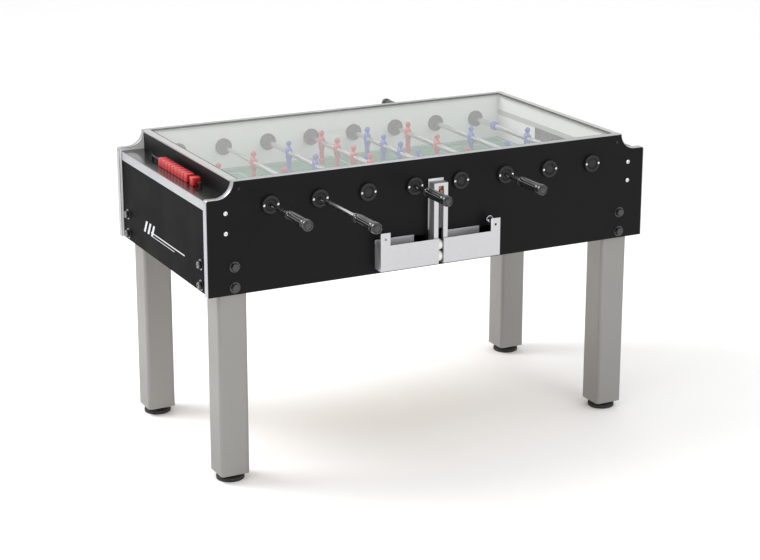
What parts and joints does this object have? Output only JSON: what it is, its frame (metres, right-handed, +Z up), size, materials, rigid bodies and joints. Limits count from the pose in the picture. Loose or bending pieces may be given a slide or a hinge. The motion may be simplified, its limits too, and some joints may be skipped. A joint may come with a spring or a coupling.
{
  "type": "foosball table",
  "caption": "Coin-operated foosball table with telescopic player rods, a glass top, folded ball trays, bead score counters and square legs on levelling feet.",
  "frame": {"origin": "on the floor, midway between the end panels and the side panels", "axes": "+Z up, +X along the field from the left goal to the right goal, +Y from the front side panel with the ball trays to the rear one"},
  "size_m": [1.436, 1.409, 0.89],
  "materials": {
    "black_laminate": "satin black laminate with a white inner face",
    "trim_aluminium": "brushed pale aluminium edge",
    "field_green": "smooth green field with white lines",
    "return_board": "plain plywood",
    "glass": "clear tempered glass",
    "leg_silver": "satin silver-grey powder coat",
    "black_plastic": "moulded black plastic",
    "black_rubber": "black rubber",
    "screw_steel": "bright steel",
    "satin_aluminium": "satin folded sheet",
    "ball_white": "matt white",
    "slide_brass": "worn brass",
    "rod_chrome": "polished chrome tube",
    "handle_black": "glossy ribbed black plastic",
    "team_red": "moulded red plastic",
    "team_blue": "moulded blue plastic"
  },
  "bodies": {
    "root": {"side_panel_front": "black_laminate", "side_panel_rear": "black_laminate", "edge_trims": "trim_aluminium", "end_panels": "black_laminate", "end_shelves": "black_laminate", "goal_walls": "black_laminate", "playfield": "field_green", "ball_return": "return_board", "glass_top": "glass", "glass_rails": "trim_aluminium", "legs": "leg_silver", "leg_fasteners": "black_plastic", "panel_screws": "screw_steel", "rod_bushings": "black_plastic", "coin_channel": "satin_aluminium", "ball_trays": "satin_aluminium", "game_balls": "ball_white", "score_rods": "black_plastic"},
    "rod_1_bar": {"rod_1_bar": "rod_chrome"},
    "rod_1": {"rod_1_tube": "rod_chrome", "rod_1_players": "team_red", "rod_1_handle": "handle_black"},
    "rod_2_bar": {"rod_2_bar": "rod_chrome"},
    "rod_2": {"rod_2_tube": "rod_chrome", "rod_2_players": "team_red", "rod_2_handle": "handle_black"},
    "rod_3_bar": {"rod_3_bar": "rod_chrome"},
    "rod_3": {"rod_3_tube": "rod_chrome", "rod_3_players": "team_blue", "rod_3_handle": "handle_black"},
    "rod_4_bar": {"rod_4_bar": "rod_chrome"},
    "rod_4": {"rod_4_tube": "rod_chrome", "rod_4_players": "team_red", "rod_4_handle": "handle_black"},
    "rod_5_bar": {"rod_5_bar": "rod_chrome"},
    "rod_5": {"rod_5_tube": "rod_chrome", "rod_5_players": "team_blue", "rod_5_handle": "handle_black"},
    "rod_6_bar": {"rod_6_bar": "rod_chrome"},
    "rod_6": {"rod_6_tube": "rod_chrome", "rod_6_players": "team_red", "rod_6_handle": "handle_black"},
    "rod_7_bar": {"rod_7_bar": "rod_chrome"},
    "rod_7": {"rod_7_tube": "rod_chrome", "rod_7_players": "team_blue", "rod_7_handle": "handle_black"},
    "rod_8_bar": {"rod_8_bar": "rod_chrome"},
    "rod_8": {"rod_8_tube": "rod_chrome", "rod_8_players": "team_blue", "rod_8_handle": "handle_black"},
    "score_stack_left": {"score_beads_left": "team_red"},
    "score_last_left": {"score_last_bead_left": "team_red"},
    "score_stack_right": {"score_beads_right": "team_blue"},
    "score_last_right": {"score_last_bead_right": "team_blue"},
    "foot_front_left": {"foot_front_left": "black_rubber"},
    "foot_rear_left": {"foot_rear_left": "black_rubber"},
    "foot_front_right": {"foot_front_right": "black_rubber"},
    "foot_rear_right": {"foot_rear_right": "black_rubber"},
    "release_slide": {"release_slide": "slide_brass"},
    "tray_lock": {"tray_lock": "screw_steel"}
  },
  "joints": [
    {"name": "rod_1_spin", "type": "hinge", "parent": "root", "child": "rod_1_bar", "pos_m": [-0.525, 0, 0.812], "axis": [0, 1, 0], "continuous": true},
    {"name": "rod_1_slide", "type": "slide", "parent": "rod_1_bar", "child": "rod_1", "axis": [0, 1, 0], "range_m": [-0.131, 0.103]},
    {"name": "rod_2_spin", "type": "hinge", "parent": "root", "child": "rod_2_bar", "pos_m": [-0.375, 0, 0.812], "axis": [0, 1, 0], "continuous": true},
    {"name": "rod_2_slide", "type": "slide", "parent": "rod_2_bar", "child": "rod_2", "axis": [0, 1, 0], "range_m": [-0.1915, 0.2095]},
    {"name": "rod_3_spin", "type": "hinge", "parent": "root", "child": "rod_3_bar", "pos_m": [-0.225, 0, 0.812], "axis": [0, 1, 0], "continuous": true},
    {"name": "rod_3_slide", "type": "slide", "parent": "rod_3_bar", "child": "rod_3", "axis": [0, 1, 0], "range_m": [-0.103, 0.135]},
    {"name": "rod_4_spin", "type": "hinge", "parent": "root", "child": "rod_4_bar", "pos_m": [-0.075, 0, 0.812], "axis": [0, 1, 0], "continuous": true},
    {"name": "rod_4_slide", "type": "slide", "parent": "rod_4_bar", "child": "rod_4", "axis": [0, 1, 0], "range_m": [-0.119, 0.053]},
    {"name": "rod_5_spin", "type": "hinge", "parent": "root", "child": "rod_5_bar", "pos_m": [0.075, 0, 0.812], "axis": [0, 1, 0], "continuous": true},
    {"name": "rod_5_slide", "type": "slide", "parent": "rod_5_bar", "child": "rod_5", "axis": [0, 1, 0], "range_m": [-0.098, 0.074]},
    {"name": "rod_6_spin", "type": "hinge", "parent": "root", "child": "rod_6_bar", "pos_m": [0.225, 0, 0.812], "axis": [0, 1, 0], "continuous": true},
    {"name": "rod_6_slide", "type": "slide", "parent": "rod_6_bar", "child": "rod_6", "axis": [0, 1, 0], "range_m": [-0.172, 0.066]},
    {"name": "rod_7_spin", "type": "hinge", "parent": "root", "child": "rod_7_bar", "pos_m": [0.375, 0, 0.812], "axis": [0, 1, 0], "continuous": true},
    {"name": "rod_7_slide", "type": "slide", "parent": "rod_7_bar", "child": "rod_7", "axis": [0, 1, 0], "range_m": [-0.1915, 0.2095]},
    {"name": "rod_8_spin", "type": "hinge", "parent": "root", "child": "rod_8_bar", "pos_m": [0.525, 0, 0.812], "axis": [0, 1, 0], "continuous": true},
    {"name": "rod_8_slide", "type": "slide", "parent": "rod_8_bar", "child": "rod_8", "axis": [0, 1, 0], "range_m": [-0.123, 0.111]},
    {"name": "score_stack_left_slide", "type": "slide", "parent": "root", "child": "score_stack_left", "axis": [0, 1, 0], "range_m": [-0.0095, 0.075]},
    {"name": "score_last_left_slide", "type": "slide", "parent": "root", "child": "score_last_left", "axis": [0, 1, 0], "range_m": [-0.021, 0.0095]},
    {"name": "score_stack_right_slide", "type": "slide", "parent": "root", "child": "score_stack_right", "axis": [0, -1, 0], "range_m": [-0.0095, 0.075]},
    {"name": "score_last_right_slide", "type": "slide", "parent": "root", "child": "score_last_right", "axis": [0, -1, 0], "range_m": [-0.021, 0.0095]},
    {"name": "foot_front_left_turn", "type": "hinge", "parent": "root", "child": "foot_front_left", "pos_m": [-0.633, -0.294, 0.01], "axis": [0, 0, 1], "continuous": true},
    {"name": "foot_rear_left_turn", "type": "hinge", "parent": "root", "child": "foot_rear_left", "pos_m": [-0.633, 0.294, 0.01], "axis": [0, 0, 1], "continuous": true},
    {"name": "foot_front_right_turn", "type": "hinge", "parent": "root", "child": "foot_front_right", "pos_m": [0.633, -0.294, 0.01], "axis": [0, 0, 1], "continuous": true},
    {"name": "foot_rear_right_turn", "type": "hinge", "parent": "root", "child": "foot_rear_right", "pos_m": [0.633, 0.294, 0.01], "axis": [0, 0, 1], "continuous": true},
    {"name": "release_slide_push", "type": "slide", "parent": "root", "child": "release_slide", "axis": [0, 0, 1], "range_m": [-0.1, 0], "stiffness_N_per_m": 30, "springref_m": 0.06},
    {"name": "tray_lock_turn", "type": "hinge", "parent": "root", "child": "tray_lock", "pos_m": [0.1685, -0.366, 0.686], "axis": [0, -1, 0], "range_deg": [0, 90]}
  ]
}
